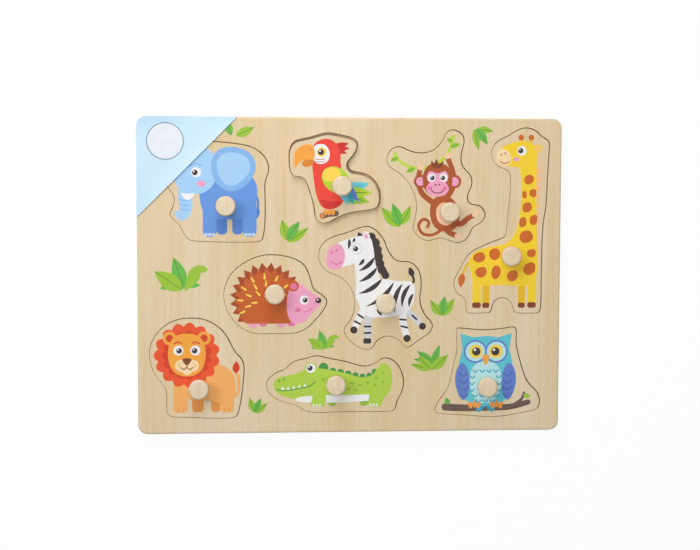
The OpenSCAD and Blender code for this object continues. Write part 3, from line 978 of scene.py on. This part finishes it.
# Leaves printed on the board, those in front last: ink, base, tip, width and bow of each
LEAVES = (
    ("deep_leaf", (-84.3, 98.5), (-88.5, 110), 5.6, -0.2),
    ("leaf", (-81, 98.4), (-68.5, 104.3), 6.4, -0.2),

    ("leaf", (-45, 25), (-48.9, 39.6), 7, 0.1),
    ("leaf", (-45.2, 24.2), (-30.6, 34), 6.2, -0.6),
    ("deep_leaf", (-45, 25.4), (-36.6, 38.4), 6.8, 0.3),

    ("leaf", (34.8, 35), (21.6, 48.4), 7.8, 0.9),
    ("leaf", (34.8, 36.2), (41.8, 49.4), 6.4, -0.6),
    ("deep_leaf", (35, 35.8), (29.2, 51.2), 7, 0.1),

    ("leaf", (87.2, 104.2), (90.4, 89.5), 5.2, -0.3),
    ("leaf", (88.8, 103.6), (100.5, 102.5), 5.2, 0.25),
    ("deep_leaf", (88.4, 104.2), (96.6, 93.1), 5.8, 0.25),

    ("leaf", (64.6, -28.2), (56.8, -17.5), 6.3, 0.4),
    ("leaf", (65.4, -28.7), (73.4, -16.3), 5.8, -0.3),
    ("deep_leaf", (65, -28), (66.7, -14.6), 6.4, 0),

    ("deep_leaf", (58, -66), (63.4, -49.4), 5.4, 0.2),
    ("deep_leaf", (60, -63.4), (47.4, -53.8), 5.6, -0.2),
    ("deep_leaf", (56, -61), (45, -59.5), 3.4, 0),
    ("leaf", (58, -66.8), (43, -63), 5.2, 0.3),
    ("leaf", (57.9, -67), (48.6, -57.9), 6.6, 0.2),
    ("leaf", (57.5, -67), (69.3, -56.6), 7, -0.3),

    ("leaf", (-68.4, -96.6), (-71.6, -86.3), 5, 0.3),
    ("leaf", (-68.2, -96.8), (-59.6, -90.2), 4.8, -0.4),
    ("deep_leaf", (-68.4, -96.4), (-63.6, -86.9), 4.8, 0.2),
)

# The same spreading tuft, printed twice: place and scale
SPREADING = (((-118.5, -9.5), 1), ((-18.9, -51.8), 0.585))


def veined(ink, base, tip, width, bow):
    """Printed leaf with a vein from its tip to its base."""
    vein = [beside(base, tip, t, bowed(bow, t)) for t in VEIN_SPAN]
    return [(ink, leaf(base, tip, width, bow)), ("vein", stroke(VEIN_W, *vein, end=VEIN_END_W))]


def spreading_tuft():
    """Tuft that grows from the origin, with one leaf folded over."""
    yield "deep_leaf", leaf((-5.5, 4.5), (-15.8, 0.7), 5)
    yield "deep_leaf", leaf((0.5, 4.5), (12.4, 3.1), 5)
    yield "leaf", blob(
        (0.5, -0.8), (2.6, 6), (4.2, 13.4), (9, 17.2), (15, 17.4), (18.2, 14.6), (16, 12), (12.2, 12.4),
        (12.6, 8.8), (9.6, 5.2), (4.5, 0.4))
    yield from veined("deep_leaf", (0.5, 0.5), (-6.2, 22.8), 9.9, -0.3)
    yield from veined("leaf", (0, -0.1), (-19.5, 13), 11.4, 0)


def leaves():
    """All that is printed on the board."""
    art = [shape for parts in LEAVES for shape in veined(*parts)]
    for (x, y), scale in SPREADING:
        for ink, line in resized(spreading_tuft(), scale, (0, 0)):
            art.append((ink, [(x + px, y + py) for px, py in line]))
    return art


def roundel():
    """Plain white disc with a thin ring."""
    return [("ring_blue", oval(0, 0, ROUNDEL_R)), ("paper_white", oval(0, 0, ROUNDEL_R - ROUNDEL_RING))]


PRINTS = {f.__name__: f for f in (elephant, parrot, monkey, giraffe, hedgehog, zebra, lion, crocodile, owl)}


# Pieces, placed by the frame

def millimetres(node):
    """Lowest and highest corner of a CAD node."""
    return [tuple(c / MM for c in corner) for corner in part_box(node)]


def axis_of(animal):
    """Where the axis of an animal's knob stands on the board."""
    low, high = millimetres(animal + "_knob")
    return (low[0] + high[0]) / 2, (low[1] + high[1]) / 2


def add_board():
    """The face layer with its recesses, and the backing under it."""
    (x0, y0, low), (x1, y1, high) = millimetres("frame_board")
    outline = panel(x0, y0, x1, y1, CORNER_R, CORNER_STEPS)
    recesses = [rounded(loop) for loop in top_loops("frame_board")[1:]]
    edge = ply_material("face_edge", low, high, *EDGE_PLIES)
    # Recess walls take the paler sawn plies: partly wood colour, partly painted light in the gaps
    sawn = ply_material("sawn_wall", low, high, *SAWN_PLIES)
    edges = [(outline, GLUE_EDGE_R, OUTER_EDGE_R, 1)]
    edges += [(loop, HIDDEN_EDGE_R, SAWN_EDGE_R, 2) for loop in recesses]
    face = add_plate("board_face", "board", edges, low, high, [veneer_material("face_veneer"), edge, sawn])
    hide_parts("frame_board")

    (_, _, low), (_, _, high) = millimetres("backing_board")
    edge = ply_material("backing_edge", low, high, *EDGE_PLIES)
    backing = add_plate("board_backing", "board", [(outline, UNDER_EDGE_R, GLUE_EDGE_R, 1)], low, high,
                        [veneer_material("backing_veneer"), edge])
    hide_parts("backing_board")
    add_print("leaf_print", "board", leaves(), (0, 0), millimetres("frame_board")[1][2])


def add_animal(animal, draw, veneer, knob_wood):
    """One sawn piece with its print and its knob."""
    (_, _, low), (_, _, high) = millimetres(animal + "_piece")
    loops = [rounded(loop) for loop in top_loops(animal + "_piece")]
    # Piece sides take the paler sawn plies: partly wood colour, partly painted light on their shaded sides
    sawn = ply_material(animal + "_edge", low, high, *SAWN_PLIES)
    edges = [(loops[0], SAWN_EDGE_R, SAWN_EDGE_R, 1)]
    edges += [(hole, HIDDEN_EDGE_R, HIDDEN_EDGE_R, 1) for hole in loops[1:]]
    piece = add_plate(animal + "_wood", animal, edges, low, high, [veneer, sawn])
    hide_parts(animal + "_piece")

    at = axis_of(animal)
    under_knob = None, oval(0, 0, KNOB_FOOT_R - INK_UNDER_KNOB)
    add_print(animal + "_print", animal, [*draw(), under_knob], at, high)

    (left, _, end), (right, _, top) = millimetres(animal + "_knob")
    profile = knob_profile(end, high, top, (right - left) / 2)
    knob = add_turning(animal + "_turned_knob", animal, profile, at, knob_wood)
    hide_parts(animal + "_knob")


def knob_profile(end, foot, top, head_r):
    """Half outline of a knob: tenon, foot, cove, and a head whose round edge meets the top at a crease."""
    neck = top - KNOB_HEAD_H
    half, depth = (neck - foot) / 2 - KNOB_BAND_H, KNOB_FOOT_R - KNOB_WAIST_R
    cove_r = (half ** 2 + depth ** 2) / (2 * depth)
    line = [(0, end), (KNOB_TENON_R, end), (KNOB_TENON_R, foot), (KNOB_FOOT_R, foot)]
    reach = atan2(half, cove_r - depth)
    for k in range(KNOB_COVE_STEPS + 1):
        a = reach * (2 * k / KNOB_COVE_STEPS - 1)
        line.append((KNOB_WAIST_R + cove_r * (1 - cos(a)), (foot + neck) / 2 + cove_r * sin(a)))
    line.append((KNOB_FOOT_R, neck))
    for z, start, turn in ((neck + KNOB_EDGE_R, -90, 90), (top - KNOB_EDGE_R, 0, KNOB_TOP_TURN)):
        for k in range(KNOB_EDGE_STEPS + 1):
            a = radians(start + turn * k / KNOB_EDGE_STEPS)
            line.append((head_r - KNOB_EDGE_R + KNOB_EDGE_R * cos(a), z + KNOB_EDGE_R * sin(a)))
    rim_r, rim_z = line[-1]
    line += [(rim_r * s, top - (top - rim_z) * s * s) for s in KNOB_DOME]
    return line + [(0, top)]


def add_card():
    """Paper triangle over the upper left corner, whose long edge bows up a little from the board."""
    (x0, _, low), (x1, y1, high) = millimetres("corner_card")
    x0, y1 = x0 - CARD_OVER, y1 + CARD_OVER
    leg, r = x1 - x0 + CARD_OVER, CORNER_R - (x0 - millimetres("frame_board")[0][0])
    points, count = [], CARD_ROWS + 1
    first = r * (2 - sqrt(2))
    for t in (high - low, 0):
        for row in range(count):
            reach = first + (leg - first) * row / CARD_ROWS
            half = reach / 2 if reach > r else sqrt(max(r * r / 2 - (reach / 2 - r) ** 2, 0))
            half = max(half, CARD_TIP)
            near = max(0, 1 - (leg - reach) / CARD_BOW_REACH)
            for column in range(count):
                across = column / CARD_ROWS
                swell = CARD_BOW_ENDS + (1 - CARD_BOW_ENDS) * sin(pi * across)
                lift = CARD_BOW * near * near * swell
                side = half * (2 * across - 1)
                points.append((x0 + reach / 2 + side, y1 - reach / 2 + side, low + lift + t))
    under = count * count
    starts = [row * count + column for row in range(CARD_ROWS) for column in range(CARD_ROWS)]
    faces = [(a, a + count, a + count + 1, a + 1) for a in starts]
    walls = [(a, a + under, b + under, b) for a, b in border(faces)]
    faces += [(a + under, d + under, c + under, b + under) for a, b, c, d in faces] + walls
    card = add_piece("card_sheet", "corner_card", points, faces, [paper_material()])
    card.data.set_sharp_from_angle(angle=radians(CARD_CREASE))
    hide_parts("corner_card")
    add_print("card_print", "corner_card", roundel(), (x0 + ROUNDEL_AT[0], y1 - ROUNDEL_AT[1]), high)


# The stage

def whiten(shader, kind, share, output):
    """Mix a share of plain white into what the camera, a mirror or glass shows, but not into the light."""
    path = node(shader, "LightPath", {}).outputs
    seen = path["Is Camera Ray"]
    for ray in ("Is Glossy Ray", "Is Transmission Ray"):
        seen = node(shader, "Math", {0: seen, 1: path[ray]}, operation="MAXIMUM").outputs[0]
    white = node(shader, kind, {"Color": (1, 1, 1, 1), "Strength": 1.0}).outputs[0]
    mix = node(shader, "MixShader", {0: weighed(shader, (share, seen)), 1: shader.outputs[0], 2: white})
    link(output, "Surface", mix.outputs[0])


def add_floor(floor_z):
    """Plain pale floor just under the part."""
    mesh = bpy.data.meshes.new("floor")
    corners = [(FLOOR_HALF * x, FLOOR_HALF * y, floor_z) for x, y in ((-1, -1), (1, -1), (1, 1), (-1, 1))]
    mesh.from_pydata(corners, [], [(0, 1, 2, 3)])
    floor = put("floor", mesh)
    made, shader = new_material("white_floor", FLOOR_WHITE, 0.9, 0.0)
    whiten(shader, "Emission", FLOOR_GLOW, made.node_tree.nodes["Material Output"])
    mesh.materials.append(made)


def add_room():
    """White surroundings that give a weak light from all sides."""
    world = bpy.data.worlds.new("white_room")
    bpy.context.scene.world = world
    world.use_nodes = True
    dim = world.node_tree.nodes["Background"]
    dim.inputs["Color"].default_value = (1, 1, 1, 1)
    dim.inputs["Strength"].default_value = AMBIENT
    whiten(dim, "Background", 1.0, world.node_tree.nodes["World Output"])


def add_light(name, at, size, share, mirrored):
    """Round soft light that looks at the middle of the board and gives its share of the light there."""
    away = Vector(at)
    lamp = bpy.data.lights.new(name, "AREA")
    lamp.shape = "DISK"
    lamp.size = size
    lamp.energy = share * pi * pi * away.length ** 3 / away.z
    light = put(name, lamp)
    light.location = away
    light.rotation_mode = "QUATERNION"
    light.rotation_quaternion = away.to_track_quat("Z", "Y")
    light.visible_glossy = mirrored


def add_camera(face_z):
    """Camera at the picture's viewpoint."""
    data = bpy.data.cameras.new("camera")
    data.lens, data.sensor_width = LENS, SENSOR
    camera = put("camera", data)
    at, aim = [Vector((p[0], p[1], p[2] + face_z)) * MM for p in (CAMERA_AT, CAMERA_AIM)]
    back = (at - aim).normalized()
    right = Vector(CAMERA_UP).cross(back).normalized()
    turn = Matrix((right, back.cross(right), back)).transposed()
    camera.matrix_world = Matrix.Translation(at) @ turn.to_4x4()
    bpy.context.scene.camera = camera


bpy.context.scene.view_settings.view_transform = "Standard"
add_board()
shared = veneer_material("piece_veneer"), knob_material()
for animal, draw in PRINTS.items():
    add_animal(animal, draw, *shared)
add_card()
add_floor(cad_box[0].z - FLOOR_GAP * MM)
add_room()
for name, values in LIGHTS.items():
    add_light(name, *values)
add_camera(millimetres("frame_board")[1][2])
